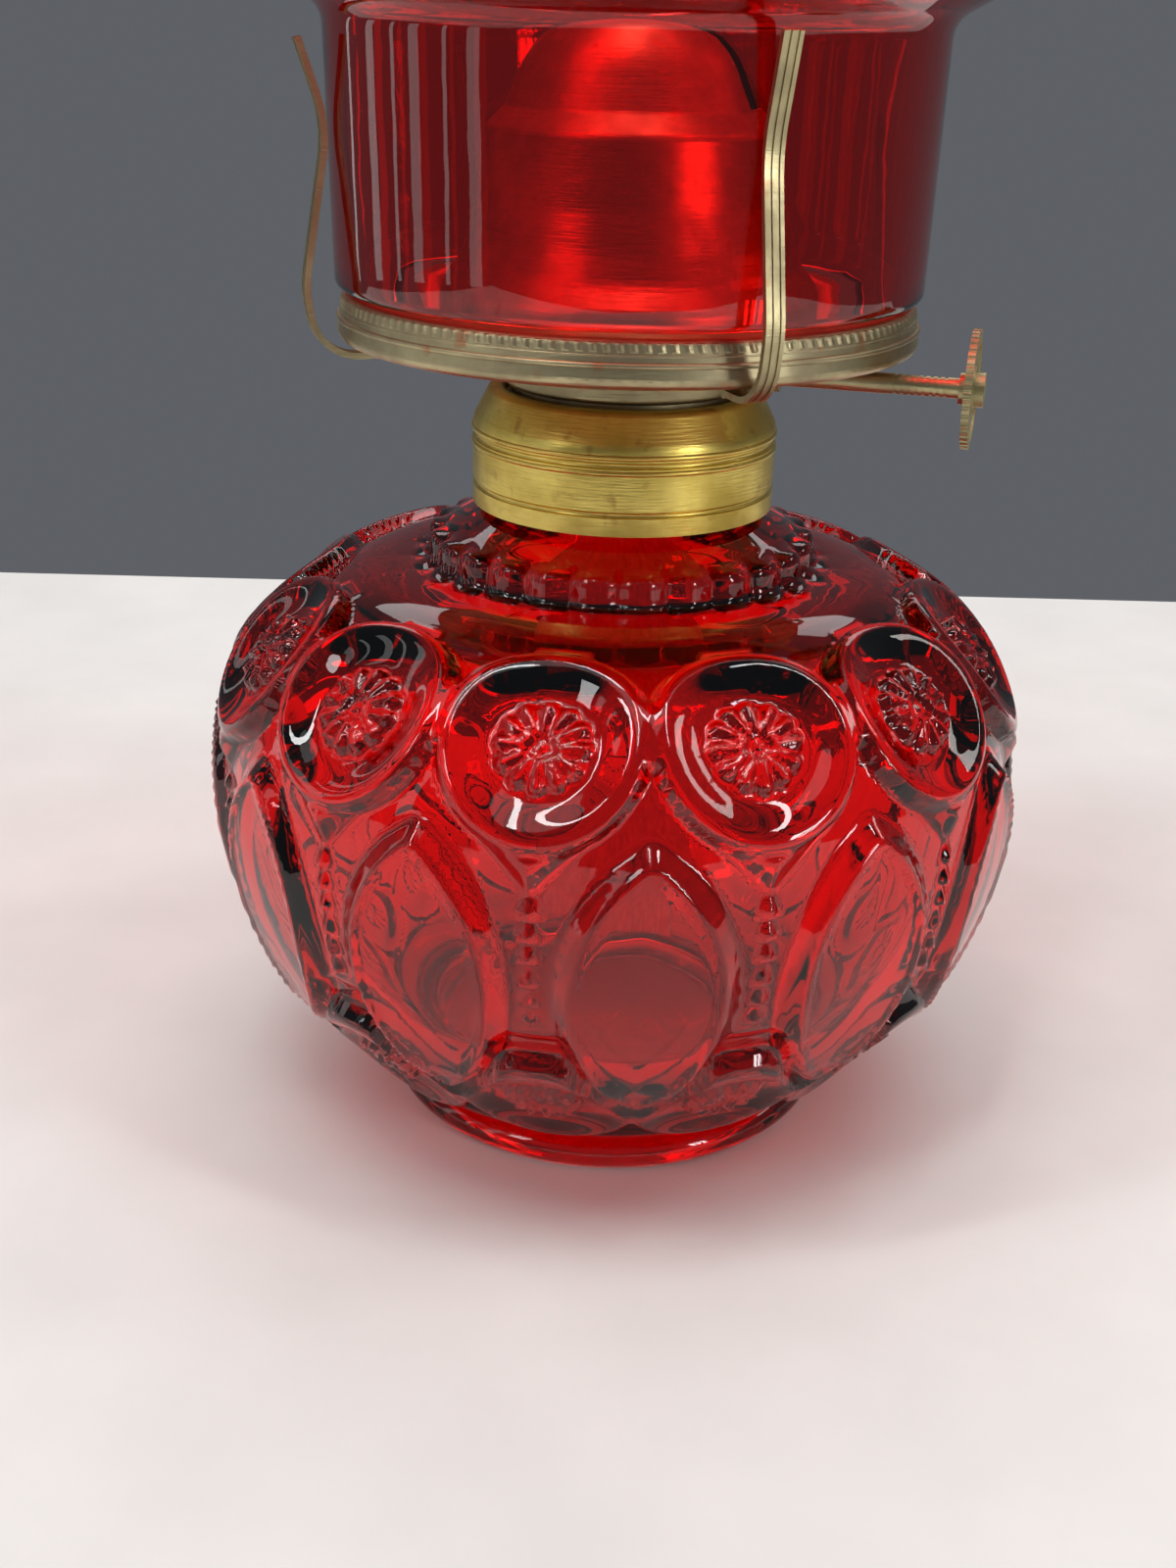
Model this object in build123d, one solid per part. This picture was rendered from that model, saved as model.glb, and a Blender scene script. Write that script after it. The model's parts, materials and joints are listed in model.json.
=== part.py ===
from build123d import *
import math
import os

# A table oil lamp, in millimetres. The origin is at the centre of the foot, on the table, and +Z is up.
# The wick raiser's shaft runs along +X. A pressed-glass font carries a cemented brass collar. A flat-wick
# burner sits in the collar's mouth, and its gallery holds a glass shade between four spring prongs.

# --- Pattern of the pressed glass: everything repeats around the axis ---
REPEATS = 12
STEP_ANGLE = 360 / REPEATS
MOON_ANGLE = 4.2
OVAL_ANGLE = MOON_ANGLE + STEP_ANGLE / 2
RELIEF = 1.1

# --- Glass font, one piece with its foot and neck ---
FOOT_RADIUS = 33.0
FOOT_HEIGHT = 4.6
FOOT_RIM = 5.5
WAIST_RADIUS = 31.0
WAIST_Z = 6.4
BELLY_RADIUS = 57.0
BELLY_Z = 48.0
LOWER_CONE = ((36.6, 8.4), (51.6, 26.0))
SHOULDER = ((56.3, 60.0), (51.0, 71.6), (39.5, 79.6))
NECK_RING_RADIUS = 26.9
NECK_RING_Z = (81.4, 85.5)
NECK_RADIUS = 17.6
NECK_BASE_Z = 89.6
NECK_TOP_Z = 98.4
NECK_BORE = 14.4
GLASS_WALL = 4.6
FONT_FLOOR_Z = 10.5
MOON_DIAMETER = 26.8
LOWER_MOON_DIAMETER = 23.0
OVAL_WIDTH = 24.0
OVAL_Z = (19.0, 62.0)

# --- Brass collar, cemented on the neck ---
COLLAR_RADIUS = 20.7
COLLAR_BOTTOM_Z = 89.3
COLLAR_TOP_Z = 105.0
COLLAR_SHEET = 0.7
MOUTH_RADIUS = 15.9
MOUTH_DEPTH = 6.0
THREAD_PITCH = 1.8
THREAD_DEPTH = 0.35
THREAD_CLEARANCE = 0.08

# --- Burner cup, closed below and screwed into the collar ---
CUP_RADIUS = 16.6
CUP_SHEET = 0.5
CUP_BASE_Z = 105.3
CUP_FLANGE_RADIUS = 18.6
CUP_FLOOR_Z = 99.6

# --- Wick, its tube and the raiser ---
WICK_WIDTH = 23.8
WICK_THICK = 1.9
WICK_Z = (24.0, 145.5)
TUBE_INNER = (25.4, 2.8)
TUBE_SHEET = 0.5
TUBE_Z = (88.0, 143.5)
SHAFT_Z = 108.7
SHAFT_Y = -5.3
SHAFT_RADIUS = 1.3
SHAFT_X = (-11.8, 48.1)
SHAFT_CLEARANCE = 0.05
SPROCKET_TIP = 4.0
SPROCKET_ROOT = 2.9
SPROCKET_TEETH = 12
SPROCKET_THICK = 0.6
SPROCKET_X = (-8.4, -2.8, 2.8, 8.4)
WHEEL_RADIUS = 7.5
WHEEL_THICK = 0.95
WHEEL_X = 46.4
WHEEL_NOTCHES = 44
WHEEL_BOSS = 1.2
BOX_HALF_WIDTH = 10.6
BOX_DEPTH = 8.2
BOX_Z = (103.4, 113.6)
SLEEVE_END_X = 22.0
SLEEVE_RADIUS = 2.1
VENT_RADIUS = 1.8
VENT_PLACE = (7.0, 8.6)
VENT_Z = (97.5, 112.5)

# --- Gallery, air screen and deflector ---
GALLERY_RADIUS = 38.7
GALLERY_FLOOR_Z = 111.2
SHELF_Z = 117.3
SHELF_INNER = 33.6
GALLERY_SHEET = 0.7
SCREEN_SHEET = 0.5
SCREEN_Z = 115.2
HOLE_RADIUS = 0.9
HOLE_ROWS = ((20.0, 30), (22.6, 34), (28.2, 42), (30.8, 46))
DEFLECTOR_BASE_RADIUS = 24.9
DEFLECTOR_BASE_Z = 115.45
DEFLECTOR_DOME_RADIUS = 16.5
DEFLECTOR_SHOULDER_Z = 137.9
DEFLECTOR_TOP_Z = 155.5
DEFLECTOR_SHEET = 0.5
BLAZE_SLOT_WIDTH = 7.6
BLAZE_SLOT_Z = 140.8

# --- Spring prongs ---
PRONG_ANGLES = (38.0, 128.0, 213.0, 306.8)
PRONG_TOPS = (149.2, 149.2, 148.0, 150.4)
PRONG_WIDTH = 2.4
PRONG_THICK = 0.8
PRONG_GROOVE = 0.2
PRONG_FOOT = (33.0, 110.1)
PRONG_PATH = (PRONG_FOOT, (41.8, 110.1), (43.1, 118.8), (39.8, 138.0))
PRONG_TIP_RADIUS = 43.1
PRONG_BENDS = (6.0, 12.0, 16.0)
PRONG_ROLL = 0.6

# --- Glass shade, by the middle of its wall: fitter, flat shoulder, round body, neck and mouth ---
SHADE_WALL = 2.6
SHADE_PATH = ((37.5, 117.9), (38.2, 151.95), (45.6, 156.2), (57.5, 169.5), (57.3, 205.0), (47.5, 233.0),
              (31.7, 260.0), (39.7, 287.64))
SHADE_BENDS = (3.4, 8.0, 37.0, 60.0, 60.0, 22.0)


def lathe(*lines):
    """Turn a closed outline of (radius, height) lines around the lamp's axis."""
    edges = [edge for line in lines for edge in line.edges()]
    return revolve(Plane.XZ * make_face(edges), Axis.Z)


def turned_sheet(points, bends, thickness):
    """Spin a thin formed sheet, whose centre line runs through the points with rounded bends."""
    centre_line = FilletPolyline(*points, radius=bends)
    return revolve(Plane.XZ * trace(centre_line, thickness), Axis.Z)


def around(angle):
    """Turn something about the lamp's axis by an angle in degrees."""
    return Rot(0, 0, angle)


def font_outline(grown):
    """The font's outer outline from the waist to the shoulder, grown outwards by the relief."""
    low_in, low_out = LOWER_CONE
    up_out, up_middle, up_in = SHOULDER
    low_in = (low_in[0] + grown, low_in[1] - grown)
    low_out = (low_out[0] + grown, low_out[1] - grown / 2)
    up_out = (up_out[0] + grown, up_out[1] + grown / 4)
    up_middle = (up_middle[0] + grown, up_middle[1] + grown / 2)
    up_in = (up_in[0] + grown * 0.7, up_in[1] + grown)
    return [
        Line(low_in, low_out),
        ThreePointArc(low_out, (BELLY_RADIUS + grown, BELLY_Z), up_out),
        ThreePointArc(up_out, up_middle, up_in),
    ]


def moon_cutter(low, high, diameter):
    """A round bar that stands square to the font's slope between two outline points, at its middle."""
    (r1, z1), (r2, z2) = low, high
    middle = ((r1 + r2) / 2, 0, (z1 + z2) / 2)
    outward = Vector(z2 - z1, 0, r1 - r2).normalized()
    return Plane(middle, x_dir=(0, 1, 0), z_dir=outward) * Cylinder(diameter / 2, 14)


def oval_cutter():
    """A pointed upright oval bar, along +X, through the belly."""
    low, high = OVAL_Z
    middle = (low + high) / 2
    left = ThreePointArc((0, low), (-OVAL_WIDTH / 2, middle), (0, high))
    right = ThreePointArc((0, high), (OVAL_WIDTH / 2, middle), (0, low))
    face = Plane((44, 0, 0), x_dir=(0, 1, 0), z_dir=(1, 0, 0)) * make_face([left.edge(), right.edge()])
    return extrude(face, 20)


def font():
    """The reservoir: foot ring, patterned belly, shoulder, fluted neck ring and neck."""
    low_in, low_out = LOWER_CONE
    up_out, up_middle, up_in = SHOULDER
    ring_low, ring_high = NECK_RING_Z
    foot_side = FOOT_RADIUS - 1.6
    foot = [
        Polyline((0, FOOT_HEIGHT - 1.6), (FOOT_RADIUS - FOOT_RIM - 1.5, FOOT_HEIGHT - 2.2),
                 (FOOT_RADIUS - FOOT_RIM, 0), (foot_side, 0)),
        ThreePointArc((foot_side, 0), (FOOT_RADIUS, FOOT_HEIGHT / 2), (foot_side, FOOT_HEIGHT)),
        Polyline((foot_side, FOOT_HEIGHT), (WAIST_RADIUS, WAIST_Z), low_in),
    ]
    neck = Polyline(up_in, (NECK_RING_RADIUS + 1.8, ring_low), (NECK_RING_RADIUS, ring_low),
                    (NECK_RING_RADIUS, ring_high), (NECK_RADIUS, NECK_BASE_Z), (NECK_RADIUS, NECK_TOP_Z),
                    (0, NECK_TOP_Z), (0, FOOT_HEIGHT - 1.6))
    body = lathe(*foot, *font_outline(0), neck)
    pattern = font_outline(RELIEF)
    top = pattern[-1] @ 1
    bottom = pattern[0] @ 0
    relief = lathe(*pattern, Polyline(top, (20, up_in[1]), (20, low_in[1]), bottom))
    pads = []
    for index in range(REPEATS):
        turn = index * STEP_ANGLE
        pads.append(around(MOON_ANGLE + turn) * moon_cutter(up_out, up_in, MOON_DIAMETER))
        pads.append(around(MOON_ANGLE + turn) * moon_cutter(low_in, low_out, LOWER_MOON_DIAMETER))
        pads.append(around(OVAL_ANGLE + turn) * oval_cutter())
    for pad in pads:
        body += pad & relief
    return body - font_cavity()


def font_cavity():
    """The oil's space inside the font, up through the neck."""
    low_in, low_out = LOWER_CONE
    up_out, up_middle, up_in = SHOULDER
    wall = GLASS_WALL
    side = (low_out[0] - wall, low_out[1] + wall / 2)
    shoulder = (up_out[0] - wall, up_out[1] - wall / 3)
    bend = (up_middle[0] - wall * 0.76, up_middle[1] - wall * 0.65)
    throat = (up_in[0] - wall / 3, up_in[1] - wall)
    neck_foot_z = NECK_RING_Z[0] + 1
    return lathe(
        Polyline((0, NECK_TOP_Z + 1), (0, FONT_FLOOR_Z), (low_in[0] - wall + 1.4, FONT_FLOOR_Z), side),
        ThreePointArc(side, (BELLY_RADIUS - wall, BELLY_Z), shoulder),
        ThreePointArc(shoulder, bend, throat),
        Polyline(throat, (NECK_BORE + 10, NECK_RING_Z[0] - wall), (NECK_BORE, neck_foot_z),
                 (NECK_BORE, NECK_TOP_Z + 1), (0, NECK_TOP_Z + 1)),
    )


def collar():
    """Stamped brass collar: lipped skirt, two beads, rounded shoulder and threaded mouth."""
    outer = COLLAR_RADIUS - COLLAR_SHEET / 2
    mouth = MOUTH_RADIUS + THREAD_DEPTH + COLLAR_SHEET / 2
    lip_z = COLLAR_TOP_Z - COLLAR_SHEET / 2
    shell = turned_sheet(
        [(outer, COLLAR_BOTTOM_Z), (outer, COLLAR_TOP_Z - 4.6), (mouth + 1.6, lip_z), (mouth, lip_z),
         (mouth, COLLAR_TOP_Z - MOUTH_DEPTH)],
        [2.6, 1.0, 0.4], COLLAR_SHEET)
    for groove_z in (COLLAR_BOTTOM_Z + 2.8, COLLAR_BOTTOM_Z + 9.2):
        shell -= Pos(0, 0, groove_z) * Torus(COLLAR_RADIUS + 0.1, 0.45)
    for bead_z in (COLLAR_BOTTOM_Z + 8.2, COLLAR_BOTTOM_Z + 10.2):
        shell += Pos(0, 0, bead_z) * Torus(COLLAR_RADIUS - 0.2, 0.4)
    for crest in range(3):
        crest_z = COLLAR_TOP_Z - 1.6 - crest * THREAD_PITCH
        band = Cylinder(MOUTH_RADIUS + THREAD_DEPTH + 0.1, THREAD_PITCH / 2)
        band -= Cylinder(MOUTH_RADIUS, THREAD_PITCH)
        shell += Pos(0, 0, crest_z) * band
    return shell


def collar_cement():
    """Plaster ring that holds the collar on the glass neck."""
    outer = COLLAR_RADIUS - COLLAR_SHEET
    height = NECK_TOP_Z - NECK_BASE_Z
    ring = Cylinder(outer, height) - Cylinder(NECK_RADIUS, height + 2)
    return Pos(0, 0, NECK_BASE_Z + height / 2) * ring


def wick_slot(width, depth, height):
    """Flat bar with rounded edges, upright on the lamp's axis, standing on z = 0."""
    return extrude(SlotOverall(width, depth), height)


def burner_cup():
    """Closed cup with the male thread below and the raiser's space above."""
    thread_core = MOUTH_RADIUS - THREAD_DEPTH - THREAD_CLEARANCE
    half = CUP_SHEET / 2
    flange_z = GALLERY_FLOOR_Z - GALLERY_SHEET / 2 - half
    cup = turned_sheet(
        [(4.0, CUP_FLOOR_Z), (thread_core - half, CUP_FLOOR_Z), (thread_core - half, CUP_BASE_Z + half),
         (CUP_RADIUS - half, CUP_BASE_Z + half), (CUP_RADIUS - half, flange_z),
         (CUP_FLANGE_RADIUS, flange_z)],
        [0.8, 0.3, 0.6, 0.3], CUP_SHEET)
    cup += Pos(0, 0, CUP_FLOOR_Z) * Cylinder(5.0, CUP_SHEET)
    for crest in range(3):
        crest_z = CUP_BASE_Z - 1.4 - crest * THREAD_PITCH
        radius = MOUTH_RADIUS - THREAD_CLEARANCE
        band = Cylinder(radius, THREAD_PITCH / 3) - Cylinder(thread_core - 0.1, THREAD_PITCH)
        cup += Pos(0, 0, crest_z) * band
    outer = (TUBE_INNER[0] + 2 * TUBE_SHEET, TUBE_INNER[1] + 2 * TUBE_SHEET)
    cup -= Pos(0, 0, CUP_FLOOR_Z - 2) * wick_slot(outer[0], outer[1], 4)
    cup -= Pos(VENT_PLACE[0], VENT_PLACE[1], CUP_FLOOR_Z) * Cylinder(VENT_RADIUS, 4)
    cup -= Pos(CUP_RADIUS, SHAFT_Y, SHAFT_Z) * Rot(0, 90, 0) * Cylinder(SLEEVE_RADIUS, 6)
    return cup


def wick_tube():
    """Flat tube that guides the wick, with a window for each sprocket."""
    outer = (TUBE_INNER[0] + 2 * TUBE_SHEET, TUBE_INNER[1] + 2 * TUBE_SHEET)
    height = TUBE_Z[1] - TUBE_Z[0]
    tube = wick_slot(outer[0], outer[1], height) - wick_slot(TUBE_INNER[0], TUBE_INNER[1], height)
    tube = Pos(0, 0, TUBE_Z[0]) * tube
    for x in SPROCKET_X:
        tube -= Pos(x, -outer[1] / 2, SHAFT_Z) * Box(SPROCKET_THICK + 0.8, outer[1] - 0.6, 6.4)
    return tube


def raiser_box():
    """Folded cover in front of the wick tube, which carries the shaft and shields the sprockets."""
    low, high = BOX_Z
    face_y = -TUBE_INNER[1] / 2 - TUBE_SHEET
    size = (2 * BOX_HALF_WIDTH, BOX_DEPTH, high - low)
    sheet = CUP_SHEET
    centre = Pos(0, face_y - BOX_DEPTH / 2, (low + high) / 2)
    box = centre * (Box(*size) - Pos(0, sheet, 0) * Box(size[0] - 2 * sheet, size[1], size[2] - 2 * sheet))
    bearing = Rot(0, 90, 0) * Cylinder(SHAFT_RADIUS + SHAFT_CLEARANCE, 40)
    return box - Pos(0, SHAFT_Y, SHAFT_Z) * bearing


def shaft_sleeve():
    """Short tube that carries the shaft out through the cup's wall."""
    length = SLEEVE_END_X - BOX_HALF_WIDTH
    sleeve = Cylinder(SLEEVE_RADIUS, length) - Cylinder(SHAFT_RADIUS + SHAFT_CLEARANCE, length)
    return Pos(BOX_HALF_WIDTH + length / 2, SHAFT_Y, SHAFT_Z) * Rot(0, 90, 0) * sleeve


def raiser_shaft():
    """Shaft from the raiser box to the thumbwheel, with fine turned rings near the wheel."""
    start, end = SHAFT_X
    shaft = Pos((start + end) / 2, SHAFT_Y, SHAFT_Z) * Rot(0, 90, 0) * Cylinder(SHAFT_RADIUS, end - start)
    for index in range(8):
        ring = Rot(0, 90, 0) * (Cylinder(SHAFT_RADIUS + 0.4, 0.4) - Cylinder(SHAFT_RADIUS - 0.15, 0.4))
        shaft -= Pos(WHEEL_X - 3.2 - index * 0.9, SHAFT_Y, SHAFT_Z) * ring
    return shaft


def sprocket(x):
    """Thin toothed wheel that bites the face of the wick."""
    points = []
    for index in range(SPROCKET_TEETH):
        for part, radius in ((0, SPROCKET_TIP), (0.5, SPROCKET_ROOT)):
            angle = (index + part) * 2 * math.pi / SPROCKET_TEETH
            points.append((radius * math.cos(angle), radius * math.sin(angle)))
    disc = extrude(make_face(Polyline(*points, close=True).edges()), SPROCKET_THICK)
    disc -= Cylinder(SHAFT_RADIUS, 4)
    return Pos(x - SPROCKET_THICK / 2, SHAFT_Y, SHAFT_Z) * Rot(0, 90, 0) * disc


def thumbwheel():
    """Thin wheel with a notched edge, a raised rim on each face and a hub boss outside."""
    wheel = Cylinder(WHEEL_RADIUS, WHEEL_THICK)
    for side in (-1, 1):
        face_z = side * WHEEL_THICK / 2
        wheel -= Pos(0, 0, face_z) * (Cylinder(WHEEL_RADIUS - 1.0, 0.5) - Cylinder(3.0, 0.5))
    for index in range(WHEEL_NOTCHES):
        angle = index * 360 / WHEEL_NOTCHES
        wheel -= Rot(0, 0, angle) * Pos(WHEEL_RADIUS + 0.1, 0, 0) * Cylinder(0.3, WHEEL_THICK)
    wheel += Pos(0, 0, (WHEEL_THICK + WHEEL_BOSS) / 2) * Cylinder(2.2, WHEEL_BOSS)
    wheel += Pos(0, 0, -WHEEL_THICK / 2 - 0.5) * Cylinder(2.0, 1.0)
    wheel -= Cylinder(SHAFT_RADIUS, 12)
    return Pos(WHEEL_X, SHAFT_Y, SHAFT_Z) * Rot(0, 90, 0) * wheel


def vent_tube():
    """Small tube that lets air into the font beside the wick."""
    height = VENT_Z[1] - VENT_Z[0]
    tube = Cylinder(VENT_RADIUS, height) - Cylinder(VENT_RADIUS - 0.4, height)
    return Pos(VENT_PLACE[0], VENT_PLACE[1], (VENT_Z[0] + VENT_Z[1]) / 2) * tube


def air_screen():
    """Perforated dish between the cup and the gallery, which spreads the air to the flame."""
    inner_z = GALLERY_FLOOR_Z + GALLERY_SHEET / 2 + SCREEN_SHEET / 2
    screen = turned_sheet(
        [(CUP_RADIUS, inner_z), (CUP_RADIUS + 2.6, inner_z), (DEFLECTOR_BASE_RADIUS, SCREEN_Z),
         (SHELF_INNER - GALLERY_SHEET / 2, SCREEN_Z)],
        [0.8, 3.0], SCREEN_SHEET)
    holes = []
    for radius, count in HOLE_ROWS:
        for index in range(count):
            holes.append(around(index * 360 / count) * Pos(radius, 0, 114) * Cylinder(HOLE_RADIUS, 8))
    screen -= holes
    return screen


def gallery():
    """Pressed dish with a rolled lower edge, a steep wall and a shelf, on which the shade stands."""
    floor = GALLERY_FLOOR_Z
    edge = GALLERY_RADIUS - GALLERY_SHEET / 2
    shelf = SHELF_Z - GALLERY_SHEET / 2
    return turned_sheet(
        [(CUP_RADIUS + 0.2, floor), (34.6, floor), (edge, floor + 0.8), (edge - 0.3, floor + 3.0),
         (edge - 0.9, shelf), (SHELF_INNER, shelf), (SHELF_INNER, SHELF_Z - 2.2)],
        [1.0, 0.8, 1.0, 0.7, 0.5], GALLERY_SHEET)


def deflector():
    """Flared cone and dome over the wick tube, with a blaze slot right across the dome."""
    base = DEFLECTOR_BASE_RADIUS - DEFLECTOR_SHEET / 2
    dome = DEFLECTOR_DOME_RADIUS - DEFLECTOR_SHEET / 2
    shoulder = DEFLECTOR_SHOULDER_Z
    top = DEFLECTOR_TOP_Z - DEFLECTOR_SHEET / 2
    shell = turned_sheet(
        [(base, DEFLECTOR_BASE_Z), (base, 119.0), (22.6, 121.2), (21.25, 124.5), (19.95, 129.5),
         (dome + 2.6, shoulder), (dome, shoulder + 2.5), (13.5, 146.8), (8.6, 152.2), (0.6, top)],
        [1.0, 4.0, 10.0, 10.0, 1.2, 1.5, 12.0, 10.0], DEFLECTOR_SHEET)
    slot_height = 20
    slot = Box(2 * DEFLECTOR_DOME_RADIUS + 2, BLAZE_SLOT_WIDTH, slot_height)
    return shell - Pos(0, 0, BLAZE_SLOT_Z + slot_height / 2) * slot


def prong(angle, top):
    """Spring strip with two pressed grooves, from its rolled foot under the gallery up to its flared tip."""
    foot_radius, foot_z = PRONG_FOOT
    path = Plane.XZ * FilletPolyline(*PRONG_PATH, (PRONG_TIP_RADIUS, top), radius=PRONG_BENDS)
    section = Rectangle(PRONG_THICK, PRONG_WIDTH)
    for side in (-1, 1):
        section -= Pos(-PRONG_THICK / 2, side * PRONG_WIDTH / 5) * Rectangle(2 * PRONG_GROOVE, 0.45)
    start = Plane((foot_radius, 0, foot_z), x_dir=(0, 0, 1), z_dir=(1, 0, 0))
    strip = sweep(start * section, path)
    strip += Pos(foot_radius, 0, foot_z) * Rot(90, 0, 0) * Cylinder(PRONG_ROLL, PRONG_WIDTH)
    return around(angle) * strip


def wick():
    """Flat woven wick, which hangs from the tube down into the oil."""
    low, high = WICK_Z
    return Pos(0, 0, (low + high) / 2) * Box(WICK_WIDTH, WICK_THICK, high - low)


def shade():
    """Blown glass shade: fitter cylinder, flat shoulder, round body and flaring mouth."""
    return turned_sheet(SHADE_PATH, SHADE_BENDS, SHADE_WALL)


def all_parts():
    """Every separate piece of the lamp, by name."""
    parts = {
        "font": font(),
        "collar": collar(),
        "collar_cement": collar_cement(),
        "burner_cup": burner_cup(),
        "wick_tube": wick_tube(),
        "raiser_box": raiser_box(),
        "shaft_sleeve": shaft_sleeve(),
        "vent_tube": vent_tube(),
        "air_screen": air_screen(),
        "gallery": gallery(),
        "deflector": deflector(),
        "raiser_shaft": raiser_shaft(),
        "thumbwheel": thumbwheel(),
        "wick": wick(),
        "shade": shade(),
    }
    for number, x in enumerate(SPROCKET_X, start=1):
        parts[f"sprocket_{number}"] = sprocket(x)
    for number, (angle, top) in enumerate(zip(PRONG_ANGLES, PRONG_TOPS), start=1):
        parts[f"prong_{number}"] = prong(angle, top)
    return parts


os.makedirs("parts", exist_ok=True)
for name, shape in all_parts().items():
    export_step(shape, f"parts/{name}.step")
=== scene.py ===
import bpy
import json
import math
import numpy as np
from mathutils import Matrix, Vector


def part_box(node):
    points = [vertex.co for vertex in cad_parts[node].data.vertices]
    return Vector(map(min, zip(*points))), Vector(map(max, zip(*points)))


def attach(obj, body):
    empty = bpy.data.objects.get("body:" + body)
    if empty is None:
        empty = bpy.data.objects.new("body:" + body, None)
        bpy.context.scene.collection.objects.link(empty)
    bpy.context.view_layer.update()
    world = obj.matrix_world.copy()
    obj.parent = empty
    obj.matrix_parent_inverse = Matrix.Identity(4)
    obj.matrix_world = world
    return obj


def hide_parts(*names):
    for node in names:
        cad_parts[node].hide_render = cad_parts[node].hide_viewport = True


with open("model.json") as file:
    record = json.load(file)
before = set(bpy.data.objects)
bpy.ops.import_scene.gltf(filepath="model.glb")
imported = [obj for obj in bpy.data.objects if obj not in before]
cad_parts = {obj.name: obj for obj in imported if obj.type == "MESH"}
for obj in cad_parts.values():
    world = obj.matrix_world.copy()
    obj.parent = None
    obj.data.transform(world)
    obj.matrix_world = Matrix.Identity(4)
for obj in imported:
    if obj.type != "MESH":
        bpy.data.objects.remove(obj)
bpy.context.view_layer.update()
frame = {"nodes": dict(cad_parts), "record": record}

# Outlines and pattern sizes are in millimetres. An outline is a row of (radius, height) points.
MM = 0.001
REPEATS = 12
CELL = 2 * math.pi / REPEATS
MOON_TURN = math.radians(4.2)
OVAL_FOOT = -0.1
FONT_MOON_RADIUS = 13.4
FONT_LOW_MOON_RADIUS = 12.4
NECK_FLUTES = 26
FLUTE_DEPTH = 1.1
SCALLOP_DEPTH = 4.0
NODES = frame["nodes"]


# ------------------------------------------------------------------ small helpers

def smooth_step(low, high, x):
    """0 below low, 1 above high, smooth between. Works on arrays, and downwards when low > high."""
    t = np.clip((x - low) / (high - low), 0, 1)
    return t * t * (3 - 2 * t)


def line_points(start, end, count):
    """Points from start up to, and without, end."""
    t = np.linspace(0, 1, count, endpoint=False)[:, None]
    return np.array(start) * (1 - t) + np.array(end) * t


def arc_points(start, middle, end, count):
    """Points on the circle through three points, without the last."""
    a, b, c = (complex(*p) for p in (start, middle, end))
    w = (c - a) / (b - a)
    centre = (b - a) * (w - abs(w) ** 2) / (2j * w.imag) + a
    radius = abs(a - centre)
    from_angle = np.angle(a - centre)
    mid_angle = np.angle(b - centre)
    to_angle = np.angle(c - centre)
    span = (to_angle - from_angle) % (2 * math.pi)
    if (mid_angle - from_angle) % (2 * math.pi) > span:
        span -= 2 * math.pi
    angles = from_angle + span * np.linspace(0, 1, count, endpoint=False)
    return np.column_stack([centre.real + radius * np.cos(angles), centre.imag + radius * np.sin(angles)])


def make_mesh(name, points, faces, material, smooth=True):
    """One object from points in millimetres and faces."""
    mesh = bpy.data.meshes.new(name)
    mesh.from_pydata((np.asarray(points) * MM).tolist(), [], faces)
    mesh.validate()
    mesh.update()
    if smooth:
        mesh.polygons.foreach_set("use_smooth", [True] * len(mesh.polygons))
    piece = bpy.data.objects.new(name, mesh)
    bpy.context.scene.collection.objects.link(piece)
    mesh.materials.append(material)
    return piece


def spun_mesh(name, outer, inner, material):
    """Closed body from rings of points, up the outside from the axis and back to it down the inside.

    The inner rings may have fewer points, and then the faces between the two have more corners.
    """
    points = [outer[0].mean(0)]
    starts = []
    for ring in list(outer[1:]) + list(inner[:-1]):
        starts.append((len(points), len(ring)))
        points.extend(ring)
    last = len(points)
    points.append(inner[-1].mean(0))
    faces = []
    first, many = starts[0]
    for c in range(many):
        faces.append((0, first + (c + 1) % many, first + c))
    for (low, lower_count), (high, count) in zip(starts, starts[1:]):
        share = lower_count // count
        for c in range(count):
            lower = tuple(low + (c * share + i) % lower_count for i in range(share + 1))
            faces.append(lower + (high + (c + 1) % count, high + c))
    base, few = starts[-1]
    for c in range(few):
        faces.append((last, base + c, base + (c + 1) % few))
    return make_mesh(name, points, faces, material)


def ring_mesh(name, rings, material):
    """Closed ring-shaped body from rings (row, column, xyz), whose last row joins the first."""
    rows, columns, _ = rings.shape
    faces = []
    for r in range(rows):
        low = r * columns
        high = ((r + 1) % rows) * columns
        for c in range(columns):
            d = (c + 1) % columns
            faces.append((low + c, low + d, high + d, high + c))
    return make_mesh(name, rings.reshape(-1, 3), faces, material)


# ------------------------------------------------------------------ pressed glass pattern

def cell_columns(per_cell, pinch):
    """Angles around the axis, closer together at the middle of each moon by the share pinch."""
    v = (np.arange(per_cell) + 0.5) / per_cell * 2 - 1
    u = (v + pinch * v ** 3) / (1 + pinch) * CELL / 2
    return np.concatenate([MOON_TURN + u + k * CELL for k in range(REPEATS)])


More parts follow.
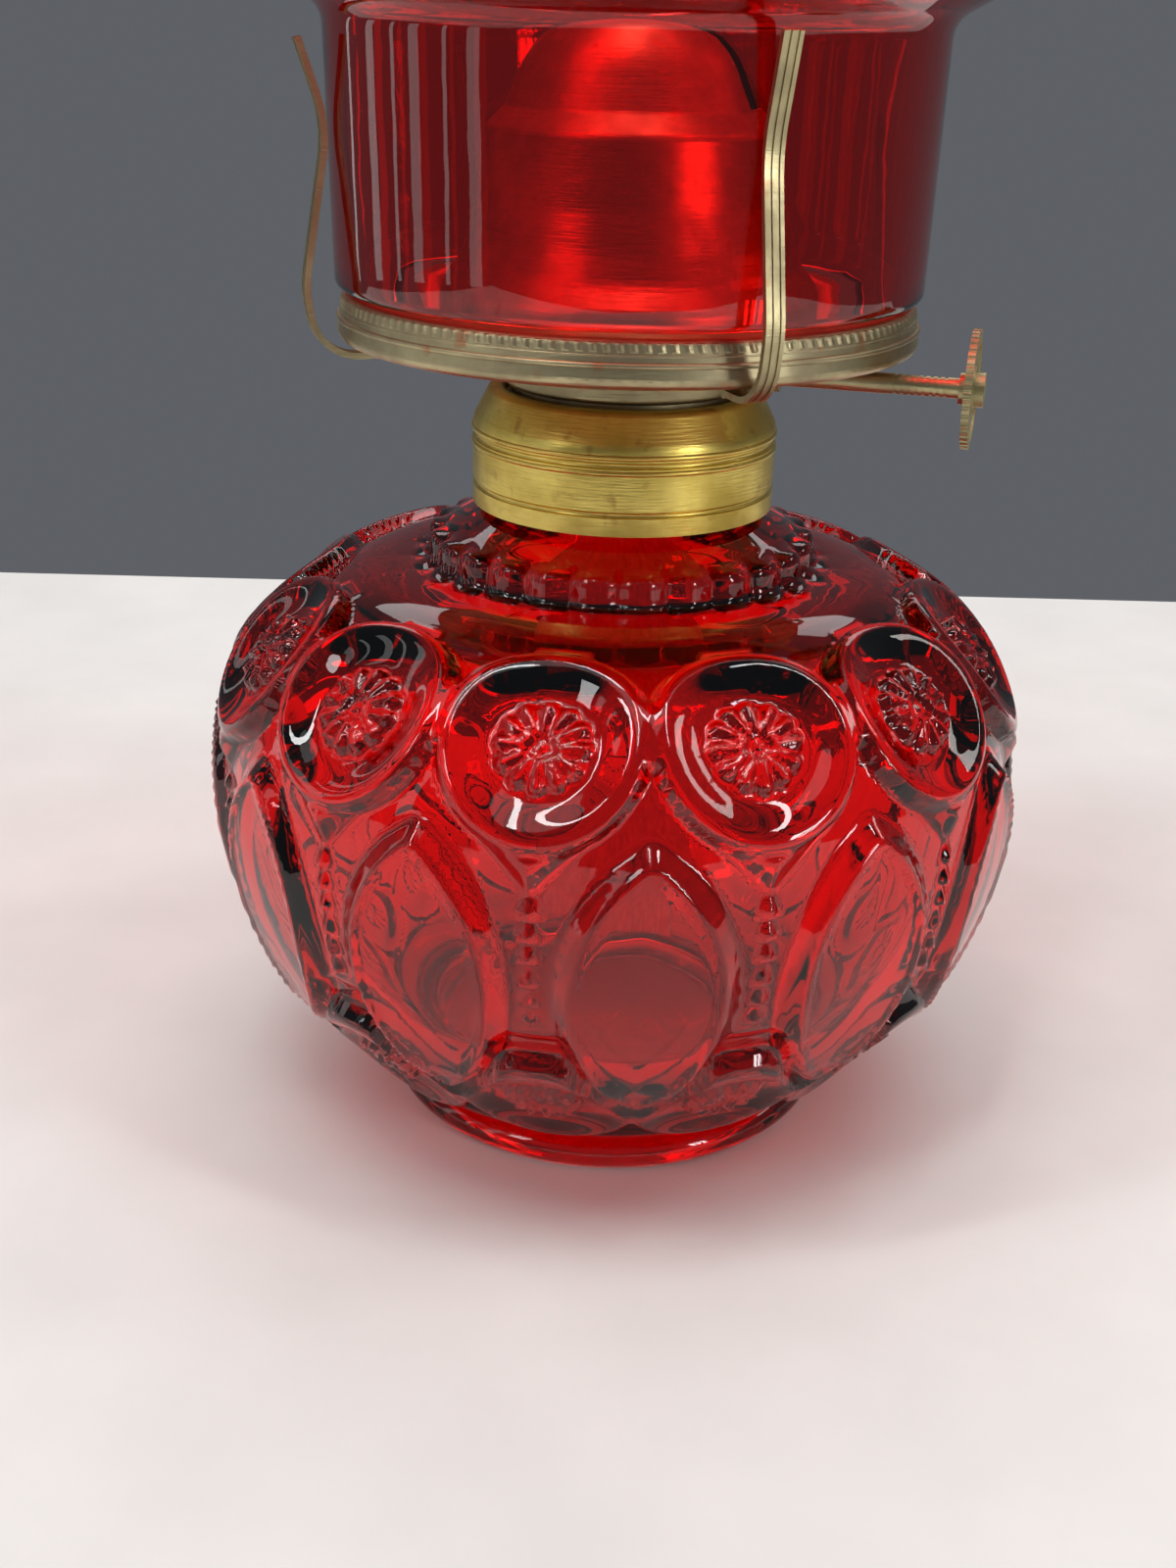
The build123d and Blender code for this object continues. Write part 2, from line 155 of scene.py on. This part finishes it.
def moon_height(across, along, radius, rim, dish, seat, petals):
    """A round dished disc with a rounded rim, and a flower on its seat if it has petals."""
    d = np.hypot(across, along)
    rim_width = 1.7
    crest = radius - rim_width
    outside = rim * np.sqrt(np.clip(1 - ((d - crest) / (radius - crest)) ** 2, 0, 1))
    bowl = rim - (rim + dish) * smooth_step(crest, seat - 0.6, d) ** 0.85
    height = np.where(d > crest, outside, bowl)
    if petals:
        angle = np.arctan2(along, across) + math.pi / 2
        lobe = np.abs(np.cos(petals / 2 * angle))
        edge = seat - 1.3 + 0.75 * lobe
        within = smooth_step(edge + 0.3, edge - 0.35, d)
        petal = (0.25 + 1.15 * lobe ** 0.7 * smooth_step(0.6, 2.2, d)) * within
        eye_radius = 1.1
        eye = 0.9 * np.sqrt(np.clip(1 - (d / eye_radius) ** 2, 0, 1))
        height += np.maximum(petal, eye)
    return np.where(d < radius, height, 0)


def oval_height(across, along, half_width, below, above, ground, table, bevel, dish):
    """A pointed upright oval, cut like a gem: a small step, a sloping bevel and a hollowed table.

    Returns its height, and the distance inside its outline. The oval counts from OVAL_FOOT inwards.
    """
    reach = np.where(along < 0, below, above)
    big = (reach ** 2 + half_width ** 2) / (2 * half_width)
    inside = np.clip(big ** 2 - along ** 2, 0, None)
    width = np.sqrt(inside) - (big - half_width)
    slope = np.abs(along) / np.sqrt(np.clip(inside, 1e-6, None))
    edge = (width - np.abs(across)) / np.sqrt(1 + np.clip(slope, 0, 4) ** 2)
    edge = np.where(np.abs(along) < reach, edge, -1)
    step = 0.55
    ledge = 0.5
    table_step = 0.4
    height = ground + step * smooth_step(OVAL_FOOT, 0.35, edge)
    rise = np.clip((edge - ledge) / bevel, 0, 1)
    height += (table - ground - step) * rise
    depth = np.clip((edge - ledge - bevel) / (half_width - bevel - ledge), 0, 1)
    height -= table_step * smooth_step(0.0, 0.1, depth) + dish * (1 - (1 - depth) ** 2)
    return height, edge


def tooth_height(across, along, teeth, spacing, tall):
    """An upright row of little stacked cones, each widest at its foot."""
    length = teeth * spacing
    t = (along + length / 2) / spacing
    part = t - np.floor(t)
    tip, flare = 0.35, 1.25
    width = tip + flare * (1 - part)
    cone = tall * (1 - part) ** 0.9 * np.clip(1 - np.abs(across) / width, 0, 1)
    cone *= smooth_step(0.0, 0.08, part)
    return np.where((t >= 0) & (t < teeth), cone, 0)


def laid_over(under, over, share):
    """One height over another where share is 1, and a blend between."""
    return under * (1 - share) + over * share


def outward_normals(outline):
    """Unit normals of an outline that runs from low to high, pointing away from the axis."""
    step = np.gradient(outline, axis=0)
    step /= np.linalg.norm(step, axis=1)[:, None]
    return np.column_stack([step[:, 1], -step[:, 0]])


def lift(outline, angles, height):
    """Rings of an outline of revolution, with each point raised along the outline's normal."""
    normal = outward_normals(outline)
    radius = outline[:, 0][:, None] + normal[:, 0][:, None] * height
    z = outline[:, 1][:, None] + normal[:, 1][:, None] * height
    return np.stack([radius * np.cos(angles), radius * np.sin(angles), z], axis=2)


def plain_rings(outline, angles):
    """Rings of a plain outline of revolution."""
    radius = outline[:, 0][:, None] * np.ones(len(angles))
    z = outline[:, 1][:, None] * np.ones(len(angles))
    return np.stack([radius * np.cos(angles), radius * np.sin(angles), z], axis=2)


def run_length(outline):
    """Distance along the outline of each of its points."""
    return np.concatenate([[0], np.cumsum(np.linalg.norm(np.diff(outline, axis=0), axis=1))])


def place_along(outline, z):
    """Distance along the outline of the point at a height."""
    return np.interp(z, outline[:, 1], run_length(outline))


def unrolled(outline, angles):
    """Distance along the outline, and around it from the nearest moon's middle and the nearest oval's."""
    turn = (angles - MOON_TURN + CELL / 2) % CELL - CELL / 2
    side = np.where(turn > 0, turn - CELL / 2, turn + CELL / 2)
    radius = outline[:, 0][:, None]
    return run_length(outline)[:, None], turn[None, :] * radius, side[None, :] * radius


def font_rings():
    """The font's surface from the underside, over the pattern and the neck, and down its inside."""
    angles = cell_columns(per_cell=44, pinch=0.3)
    under = np.concatenate([
        line_points((0.0, 3.0), (26.0, 2.4), 3),
        arc_points((26.0, 2.4), (27.2, 0.6), (28.8, 0.0), 3),
        line_points((28.8, 0.0), (31.2, 0.0), 1),
        arc_points((31.2, 0.0), (33.0, 2.2), (31.8, 4.3), 6),
        arc_points((31.8, 4.3), (30.9, 5.4), (31.8, 6.5), 4),
    ])
    patterned = np.concatenate([
        arc_points((31.8, 6.5), (34.0, 7.2), (36.6, 8.4), 3),
        line_points((36.6, 8.4), (51.0, 25.2), 30),
        arc_points((51.0, 25.2), (56.8, 45.0), (56.5, 59.0), 56),
        arc_points((56.5, 59.0), (51.2, 71.2), (39.5, 79.4), 46),
        arc_points((39.5, 79.4), (35.0, 80.5), (29.8, 81.2), 5),
    ])
    run, across, across_oval = unrolled(patterned, angles)
    z = patterned[:, 1][:, None]
    moon_run = place_along(patterned, 60.0) + FONT_MOON_RADIUS
    low_run = place_along(patterned, 19.4)
    oval_run = place_along(patterned, 41.5)
    oval_below = oval_run - place_along(patterned, 18.6)
    oval_above = place_along(patterned, 62.4) - oval_run
    tooth_run = place_along(patterned, 45.4)

    # the glass between the shapes lies lower than the outline, but for a facet under each upper moon
    column_ground = 1.15 * smooth_step(33.0, 34.6, z)
    foot_ground = 1.7 * smooth_step(34.6, 32.6, z) * smooth_step(7.5, 11.0, z)
    ground = (-column_ground - foot_ground) * smooth_step(81.0, 78.5, z) + np.zeros_like(across)
    facet = np.clip((z - 54.4 - 1.05 * np.abs(across)) / 3.6, 0, 1) * smooth_step(66.0, 62.0, z)
    ground += 1.85 * facet
    oval, edge = oval_height(across_oval, run - oval_run, half_width=12.0, below=oval_below,
                             above=oval_above, ground=ground, table=1.15, bevel=2.3, dish=0.5)
    tooth = tooth_height(across, run - tooth_run, teeth=6, spacing=3.3, tall=1.5)
    height = np.where(edge > OVAL_FOOT, oval, ground + tooth)
    # the ovals lie over the lower moons, and the upper moons over all
    low = moon_height(across, run - low_run, FONT_LOW_MOON_RADIUS, rim=1.0, dish=0.7, seat=5.6, petals=12)
    in_low = smooth_step(FONT_LOW_MOON_RADIUS + 0.2, FONT_LOW_MOON_RADIUS - 0.2,
                         np.hypot(across, run - low_run))
    height = laid_over(height, low, in_low * smooth_step(0.15, OVAL_FOOT, edge))
    moon = moon_height(across, run - moon_run, FONT_MOON_RADIUS, rim=1.1, dish=1.4, seat=6.6, petals=12)
    in_moon = smooth_step(FONT_MOON_RADIUS + 0.1, FONT_MOON_RADIUS - 0.2,
                          np.hypot(across, run - moon_run))
    height = laid_over(height, moon, in_moon)
    body = lift(patterned, angles, height)

    flute = np.abs(np.cos(NECK_FLUTES / 2 * angles))
    ring_outline = np.concatenate([
        arc_points((29.8, 81.2), (28.2, 81.3), (27.1, 81.9), 3),
        line_points((27.1, 81.9), (26.9, 84.6), 5),
        arc_points((26.9, 84.6), (26.5, 85.3), (25.6, 85.6), 4),
    ])
    ring_share = smooth_step(0, 4, np.arange(len(ring_outline)))[:, None]
    fluted = lift(ring_outline, angles, (FLUTE_DEPTH * flute[None, :] ** 0.8 - FLUTE_DEPTH) * ring_share)
    neck = np.concatenate([
        line_points((24.6, 85.7), (18.4, 89.0), 5),
        arc_points((18.4, 89.0), (17.8, 89.4), (17.5, 90.2), 3),
        np.array([[17.5, 90.2]]),
    ])
    inside = np.concatenate([
        line_points((17.5, 94.0), (17.5, 97.6), 2),
        arc_points((17.5, 97.6), (16.0, 98.4), (14.5, 97.6), 4),
        line_points((14.5, 97.6), (14.5, 84.6), 2),
        arc_points((14.5, 84.6), (15.6, 80.6), (19.0, 78.2), 4),
        line_points((19.0, 78.2), (34.0, 75.9), 3),
        arc_points((34.0, 75.9), (45.6, 70.0), (51.4, 59.6), 8),
        arc_points((51.4, 59.6), (52.3, 46.0), (47.0, 28.6), 9),
        line_points((47.0, 28.6), (36.0, 14.4), 3),
        arc_points((36.0, 14.4), (31.6, 11.4), (26.0, 10.6), 3),
        line_points((26.0, 10.6), (0.0, 10.5), 3),
        np.array([[0.0, 10.5]]),
    ])
    outer = np.concatenate([plain_rings(under, angles), body, fluted, plain_rings(neck, angles)])
    return outer, plain_rings(inside, angles[::4])


def shade_rings():
    """The shade's outside from the fitter up to the scalloped mouth, and back down its inside."""
    angles = cell_columns(per_cell=32, pinch=0.8)
    fitter = np.concatenate([
        arc_points((37.5, 117.9), (38.45, 118.3), (38.8, 119.2), 4),
        line_points((38.8, 119.2), (39.45, 149.4), 8),
        arc_points((39.45, 149.4), (39.95, 151.2), (41.4, 152.5), 6),
        line_points((41.4, 152.5), (46.0, 155.2), 4),
        arc_points((46.0, 155.2), (50.9, 159.2), (54.4, 164.4), 8),
    ])
    patterned = np.concatenate([
        arc_points((54.4, 164.4), (57.4, 187.6), (54.6, 212.0), 65),
        arc_points((54.6, 212.0), (47.3, 233.0), (36.6, 252.0), 34),
        arc_points((36.6, 252.0), (33.4, 262.0), (34.8, 272.0), 7),
        arc_points((34.8, 272.0), (37.3, 280.5), (40.6, 286.8), 8),
    ])
    run, across, across_oval = unrolled(patterned, angles)
    oval_run = place_along(patterned, 194.0)
    high_run = place_along(patterned, 219.5)
    low_run = place_along(patterned, 174.5)
    ground = np.zeros_like(across)
    oval, edge = oval_height(across_oval, run - oval_run, half_width=11.6, below=21.0, above=21.0,
                             ground=ground, table=1.1, bevel=2.4, dish=0.5)
    tooth = tooth_height(across, run - oval_run, teeth=6, spacing=3.3, tall=1.1)
    height = np.where(edge > OVAL_FOOT, oval, tooth)
    for centre, size, petals in ((high_run, 12.0, 12), (low_run, 10.5, 0)):
        moon = moon_height(across, run - centre, size, rim=1.0, dish=0.6, seat=6.4, petals=petals)
        in_moon = smooth_step(size + 0.15, size - 0.2, np.hypot(across, run - centre))
        height = laid_over(height, moon, in_moon)
    body = lift(patterned, angles, height)
    lip_and_inside = np.concatenate([
        arc_points((40.6, 286.8), (40.2, 287.9), (38.9, 287.4), 4),
        arc_points((38.2, 286.4), (34.4, 277.5), (31.9, 267.0), 6),
        arc_points((31.9, 267.0), (31.6, 257.0), (35.0, 249.6), 5),
        arc_points((35.0, 249.6), (45.2, 231.5), (52.0, 211.4), 12),
        arc_points((52.0, 211.4), (54.6, 187.6), (52.0, 165.8), 18),
        arc_points((52.0, 165.8), (48.8, 161.0), (44.6, 157.4), 6),
        line_points((44.6, 157.4), (40.0, 154.7), 3),
        arc_points((40.0, 154.7), (37.6, 152.4), (36.85, 149.4), 6),
        line_points((36.85, 149.4), (36.2, 119.0), 6),
        arc_points((36.2, 119.0), (36.5, 118.1), (37.5, 117.9), 3),
    ])
    rings = np.concatenate([plain_rings(fitter, angles), body, plain_rings(lip_and_inside, angles)])
    rise = smooth_step(262.0, 288.0, rings[:, :, 2])
    scallop = 0.5 - 0.5 * np.cos(REPEATS * (angles - MOON_TURN))
    rings[:, :, 2] -= rise * SCALLOP_DEPTH * scallop[None, :]
    return rings


def hoop_mesh(name, radius, z, thick, material):
    """Round wire hoop around the lamp's axis."""
    steps, sides = 192, 12
    around = np.linspace(0, 2 * math.pi, steps, endpoint=False)
    section = np.linspace(0, 2 * math.pi, sides, endpoint=False)
    outline = np.column_stack([radius + thick / 2 * np.sin(section), z - thick / 2 * np.cos(section)])
    return ring_mesh(name, plain_rings(outline, around), material)


def hatched_band(name, low, high, material):
    """Thin band with slanting pressed hatch marks, between two (radius, height) points."""
    marks, points_per_mark, slant = 150, 8, 1.4
    proud, relief, thick = 0.06, 0.20, 0.5
    around = np.linspace(0, 2 * math.pi, marks * points_per_mark, endpoint=False)
    front = np.concatenate([line_points(low, high, 6), np.array([high])])
    share = np.linspace(0, 1, len(front))[:, None]
    ridge = np.abs(np.cos((around[None, :] * marks + share * slant) / 2)) ** 3
    fade = smooth_step(0.0, 0.2, share) * smooth_step(1.0, 0.8, share)
    outer = lift(front, around, proud + relief * ridge * fade)
    inner = plain_rings(front[::-1] - np.array([thick, 0.0]), around)
    return ring_mesh(name, np.concatenate([outer, inner]), material)


# ------------------------------------------------------------------ materials

def new_material(name):
    """A material, its nodes, its links and its shader."""
    material = bpy.data.materials.new(name)
    material.use_nodes = True
    nodes = material.node_tree.nodes
    return material, nodes, material.node_tree.links, nodes["Principled BSDF"]


def noise(nodes, links, scale, detail=4.0, stretch=(1, 1, 1)):
    """Noise in the object's own metres, stretched along an axis where asked."""
    where = nodes.new("ShaderNodeTexCoord")
    mapping = nodes.new("ShaderNodeMapping")
    mapping.inputs["Scale"].default_value = stretch
    texture = nodes.new("ShaderNodeTexNoise")
    texture.inputs["Scale"].default_value = scale
    texture.inputs["Detail"].default_value = detail
    links.new(where.outputs["Object"], mapping.inputs["Vector"])
    links.new(mapping.outputs["Vector"], texture.inputs["Vector"])
    return texture


def ramp(nodes, links, source, stops):
    """Colour ramp over a value. stops are (position, grey or colour)."""
    node = nodes.new("ShaderNodeValToRGB")
    elements = node.color_ramp.elements
    while len(elements) < len(stops):
        elements.new(0.5)
    for element, (position, colour) in zip(elements, stops):
        element.position = position
        element.color = (*colour, 1) if isinstance(colour, tuple) else (colour, colour, colour, 1)
    links.new(source, node.inputs["Fac"])
    return node


def bump(nodes, links, source, shader, strength, distance):
    """Bump on the shader from a value. distance is in metres."""
    node = nodes.new("ShaderNodeBump")
    node.inputs["Strength"].default_value = strength
    node.inputs["Distance"].default_value = distance
    links.new(source, node.inputs["Height"])
    links.new(node.outputs["Normal"], shader.inputs["Normal"])


def ruby_glass(name, passed):
    """Clear glass that swallows green and blue with depth, with faint ripples from the mould.

    passed is the share of light that its surface lets through towards what lies in its shadow.
    """
    material, nodes, links, shader = new_material(name)
    shader.inputs["Base Color"].default_value = (1.0, 0.93, 0.92, 1)
    shader.inputs["Transmission Weight"].default_value = 1.0
    shader.inputs["Roughness"].default_value = 0.0
    shader.inputs["IOR"].default_value = 1.52
    ripple = noise(nodes, links, 90.0, 2.0)
    bump(nodes, links, ripple.outputs["Fac"], shader, 0.10, 0.0005)
    path = nodes.new("ShaderNodeLightPath")
    clear = nodes.new("ShaderNodeBsdfTransparent")
    clear.inputs["Color"].default_value = (passed, passed, passed, 1)
    mix = nodes.new("ShaderNodeMixShader")
    links.new(path.outputs["Is Shadow Ray"], mix.inputs["Fac"])
    links.new(shader.outputs["BSDF"], mix.inputs[1])
    links.new(clear.outputs["BSDF"], mix.inputs[2])
    links.new(mix.outputs["Shader"], nodes["Material Output"].inputs["Surface"])
    dye = nodes.new("ShaderNodeVolumeAbsorption")
    dye.inputs["Color"].default_value = (0.976, 0.07, 0.045, 1)
    dye.inputs["Density"].default_value = 1000.0
    links.new(dye.outputs["Volume"], nodes["Material Output"].inputs["Volume"])
    return material


def brass(name, bright, dull, coppery, roughness, tarnish, edge_z=None):
    """Brass with cloudy tarnish, fine drawn scratches and coppery stains, and a coppery edge at edge_z."""
    material, nodes, links, shader = new_material(name)
    shader.inputs["Metallic"].default_value = 1.0
    clouds = noise(nodes, links, 120.0, 6.0)
    colour = ramp(nodes, links, clouds.outputs["Fac"], [(0.5 - tarnish, dull), (0.62, bright)])
    stains = noise(nodes, links, 320.0, 5.0)
    where = ramp(nodes, links, stains.outputs["Fac"], [(0.62, 0.0), (0.74, 0.8)])
    amount = where.outputs["Color"]
    if edge_z:
        place = nodes.new("ShaderNodeTexCoord")
        parts = nodes.new("ShaderNodeSeparateXYZ")
        links.new(place.outputs["Object"], parts.inputs["Vector"])
        band = nodes.new("ShaderNodeMapRange")
        band.interpolation_type = "SMOOTHSTEP"
        band.inputs["From Min"].default_value = edge_z + 1.2 * MM
        band.inputs["From Max"].default_value = edge_z
        band.inputs["To Max"].default_value = 0.75
        links.new(parts.outputs["Z"], band.inputs["Value"])
        most = nodes.new("ShaderNodeMath")
        most.operation = "MAXIMUM"
        links.new(amount, most.inputs[0])
        links.new(band.outputs["Result"], most.inputs[1])
        amount = most.outputs["Value"]
    mix = nodes.new("ShaderNodeMix")
    mix.data_type = "RGBA"
    links.new(amount, mix.inputs["Factor"])
    links.new(colour.outputs["Color"], mix.inputs["A"])
    mix.inputs["B"].default_value = (*coppery, 1)
    links.new(mix.outputs["Result"], shader.inputs["Base Color"])
    rough = ramp(nodes, links, clouds.outputs["Fac"], [(0.35, roughness + 0.16), (0.65, roughness)])
    links.new(rough.outputs["Color"], shader.inputs["Roughness"])
    scratches = noise(nodes, links, 260.0, 3.0, (1, 1, 14))
    bump(nodes, links, scratches.outputs["Fac"], shader, 0.25, 0.0002)
    return material


def plaster():
    """Matt, grainy off-white plaster."""
    material, nodes, links, shader = new_material("plaster")
    grain = noise(nodes, links, 900.0, 5.0)
    colour = ramp(nodes, links, grain.outputs["Fac"], [(0.3, (0.60, 0.57, 0.50)), (0.7, (0.80, 0.78, 0.71))])
    links.new(colour.outputs["Color"], shader.inputs["Base Color"])
    shader.inputs["Roughness"].default_value = 0.9
    bump(nodes, links, grain.outputs["Fac"], shader, 0.4, 0.0004)
    return material


def cotton():
    """Off-white cotton with fine upright fibres."""
    material, nodes, links, shader = new_material("cotton")
    fibres = noise(nodes, links, 1500.0, 4.0, (1, 1, 0.25))
    colour = ramp(nodes, links, fibres.outputs["Fac"], [(0.3, (0.62, 0.57, 0.46)), (0.7, (0.86, 0.83, 0.74))])
    links.new(colour.outputs["Color"], shader.inputs["Base Color"])
    shader.inputs["Roughness"].default_value = 0.95
    shader.inputs["Sheen Weight"].default_value = 0.3
    bump(nodes, links, fibres.outputs["Fac"], shader, 0.5, 0.0003)
    return material


def floor_material():
    """Matt, nearly even pale floor."""
    material, nodes, links, shader = new_material("pale_floor")
    grain = noise(nodes, links, 30.0, 4.0)
    colour = ramp(nodes, links, grain.outputs["Fac"], [(0.3, (0.77, 0.75, 0.72)), (0.7, (0.83, 0.81, 0.78))])
    links.new(colour.outputs["Color"], shader.inputs["Base Color"])
    shader.inputs["Roughness"].default_value = 0.85
    return material


# ------------------------------------------------------------------ wick

def wick_mesh(material):
    """Flat woven tape: lengthwise ribs crossed by fine picks, hanging straight into the font."""
    low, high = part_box("wick")
    width = (high.x - low.x) / MM
    thick = (high.y - low.y) / MM
    rows, columns, ribs = 240, 36, 9
    rib_height, pick_height = 0.12, 0.07
    edge_power = 16
    points = []
    for r in range(rows + 1):
        z = high.z / MM + (low.z - high.z) / MM * r / rows
        pick = pick_height * (r % 2)
        for side in (1, -1):
            for c in range(columns + 1):
                v = c / columns if side > 0 else 1 - c / columns
                weave = rib_height * abs(math.sin(v * ribs * math.pi)) + pick
                round_off = math.sqrt(max(0.0, 1 - (2 * v - 1) ** edge_power))
                y = side * (thick / 2 - rib_height - pick_height + weave) * round_off
                points.append(((v - 0.5) * width, y, z))
    loop = 2 * (columns + 1)
    faces = []
    for r in range(rows):
        for c in range(loop):
            d = (c + 1) % loop
            faces.append((r * loop + c, (r + 1) * loop + c, (r + 1) * loop + d, r * loop + d))
    faces.append(tuple(range(loop)))
    faces.append(tuple(reversed(range(rows * loop, (rows + 1) * loop))))
    return make_mesh("wick_weave", points, faces, material)


# ------------------------------------------------------------------ camera, stage and lights

def aim(thing, place, target):
    """Put a thing at a place, with its -Z axis on the target."""
    thing.location = place
    thing.rotation_euler = (Vector(target) - Vector(place)).to_track_quat("-Z", "Y").to_euler()


CAMERA_TURN = math.radians(15.0)
CAMERA_PITCH = math.radians(23.12)
CAMERA_ROLL = math.radians(1.44)
CAMERA_PLACE = Vector((-3.74, -249.1, 152.2)) * MM
CAMERA_LENS = 41.85
SENSOR_WIDTH = 36.0
FLOOR_HALF_WIDTH = 520
FLOOR_FRONT = -420
FLOOR_BACK = 250
SURROUNDING_GREY = (0.112, 0.118, 0.130, 1)
LEFT_STRIP_AWAY = 0.9
WINDOW_AWAY = 0.88


def make_camera():
    """Camera turned about the lamp's axis, pitched down and slightly rolled."""
    data = bpy.data.cameras.new("camera")
    data.sensor_width = SENSOR_WIDTH
    data.lens = CAMERA_LENS
    data.clip_start = 0.01
    camera = bpy.data.objects.new("camera", data)
    bpy.context.scene.collection.objects.link(camera)
    turn = Matrix.Rotation(CAMERA_TURN, 4, "Z")
    look = Matrix.Rotation(math.pi / 2 - CAMERA_PITCH, 4, "X")
    roll = Matrix.Rotation(CAMERA_ROLL, 4, "Z")
    camera.matrix_world = turn @ Matrix.Translation(CAMERA_PLACE) @ look @ roll
    bpy.context.scene.camera = camera


def make_stage():
    """Pale floor, whose back edge lies level across the picture, and a grey surrounding."""
    turn = Matrix.Rotation(CAMERA_TURN, 3, "Z")
    corners = [(-FLOOR_HALF_WIDTH, FLOOR_FRONT), (FLOOR_HALF_WIDTH, FLOOR_FRONT),
               (FLOOR_HALF_WIDTH, FLOOR_BACK), (-FLOOR_HALF_WIDTH, FLOOR_BACK)]
    points = [turn @ Vector((x, y, 0)) for x, y in corners]
    floor = make_mesh("floor", points, [(0, 1, 2, 3)], floor_material(), smooth=False)
    world = bpy.data.worlds.new("studio")
    bpy.context.scene.world = world
    world.use_nodes = True
    background = world.node_tree.nodes["Background"]
    background.inputs["Color"].default_value = SURROUNDING_GREY
    background.inputs["Strength"].default_value = 1.0


def make_light(name, place, target, size, power, colour=(1, 1, 1)):
    """Soft rectangular light. Its place is in metres, as seen from the camera's side: right, away and up."""
    data = bpy.data.lights.new(name, "AREA")
    data.shape = "RECTANGLE"
    data.size, data.size_y = size
    data.energy = power
    data.color = colour
    light = bpy.data.objects.new(name, data)
    light.visible_camera = False
    bpy.context.scene.collection.objects.link(light)
    aim(light, Matrix.Rotation(CAMERA_TURN, 3, "Z") @ Vector(place), target)


def make_lights():
    """Ceiling and tubes above, boxes around, and upright strips that leave streaks on the glass."""
    low = (0, 0, 0.09)
    high = (0, 0, 0.14)
    make_light("ceiling", (-0.1, 0.1, 1.7), low, (2.0, 1.4), 8.2)
    for number, x in enumerate((-0.55, -0.1, 0.4), start=1):
        make_light(f"ceiling_tube_{number}", (x, -0.25, 1.25), low, (0.08, 0.8), 3.3)
    make_light("left_box", (-0.8, -0.75, 0.8), low, (0.20, 0.35), 1.6)
    make_light("right_box", (1.0, 0.1, 0.8), low, (0.2, 0.4), 1.4, (1.0, 0.97, 0.93))
    make_light("back_box", (0.0, 0.9, 0.9), low, (1.3, 0.3), 2.6)
    for number, turn in enumerate((58, 70, 84, 95, 108, 124), start=1):
        angle = math.radians(turn)
        place = (-LEFT_STRIP_AWAY * math.sin(angle), -LEFT_STRIP_AWAY * math.cos(angle), 0.30)
        wide = number % 2
        make_light(f"left_strip_{number}", place, high, (0.03 + 0.05 * wide, 0.75), 0.10 + 0.12 * wide)
    for number, turn in enumerate((129.5, 132.5, 135.5), start=1):
        angle = math.radians(turn)
        place = (WINDOW_AWAY * math.sin(angle), WINDOW_AWAY * math.cos(angle), 0.26)
        make_light(f"window_{number}", place, high, (0.03, 0.30), 0.55)


# ------------------------------------------------------------------ assembly

def coat(mesh, material):
    """Give a mesh this material and no other."""
    mesh.materials.clear()
    mesh.materials.append(material)


make_camera()
make_stage()
make_lights()
bpy.context.scene.view_settings.view_transform = "Standard"

font = spun_mesh("font_glass", *font_rings(), ruby_glass("ruby_glass_font", 0.55))
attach(font, "font")
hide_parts("font")

shade = ring_mesh("shade_glass", shade_rings(), ruby_glass("ruby_glass_shade", 0.8))
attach(shade, "shade")
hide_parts("shade")

wick = wick_mesh(cotton())
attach(wick, "wick")
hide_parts("wick")

collar_brass = brass("collar_brass", bright=(0.80, 0.62, 0.16), dull=(0.58, 0.43, 0.09),
                     coppery=(0.40, 0.24, 0.06), roughness=0.28, tarnish=0.1)
burner_brass = brass("burner_brass", bright=(0.50, 0.43, 0.24), dull=(0.27, 0.22, 0.13),
                     coppery=(0.40, 0.17, 0.08), roughness=0.34, tarnish=0.2)
gallery_brass = brass("gallery_brass", bright=(0.52, 0.45, 0.26), dull=(0.28, 0.23, 0.14),
                      coppery=(0.42, 0.19, 0.09), roughness=0.34, tarnish=0.2, edge_z=0.1112)
shaft_brass = brass("shaft_brass", bright=(0.54, 0.50, 0.27), dull=(0.33, 0.29, 0.17),
                    coppery=(0.42, 0.29, 0.15), roughness=0.34, tarnish=0.2)
by_slot = {
    "collar_brass": collar_brass,
    "burner_brass": burner_brass,
    "shaft_brass": shaft_brass,
    "plaster": plaster(),
}
for subpart in frame["record"]["subparts"]:
    material = by_slot.get(subpart["material_slot"])
    if material is not None:
        coat(NODES[subpart["node"]].data, material)
coat(NODES["gallery"].data, gallery_brass)

# the gallery's outer wall: two raised beads, and a band of pressed hatch marks
beads = (("gallery_bead", 38.33, 114.3, 0.75), ("gallery_edge_bead", 38.0, 115.35, 0.4))
for name, radius, z, thick in beads:
    bead = hoop_mesh(name, radius, z, thick, gallery_brass)
    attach(bead, "burner")
band = hatched_band("gallery_hatching", (38.0, 115.6), (37.72, 116.9), gallery_brass)
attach(band, "burner")
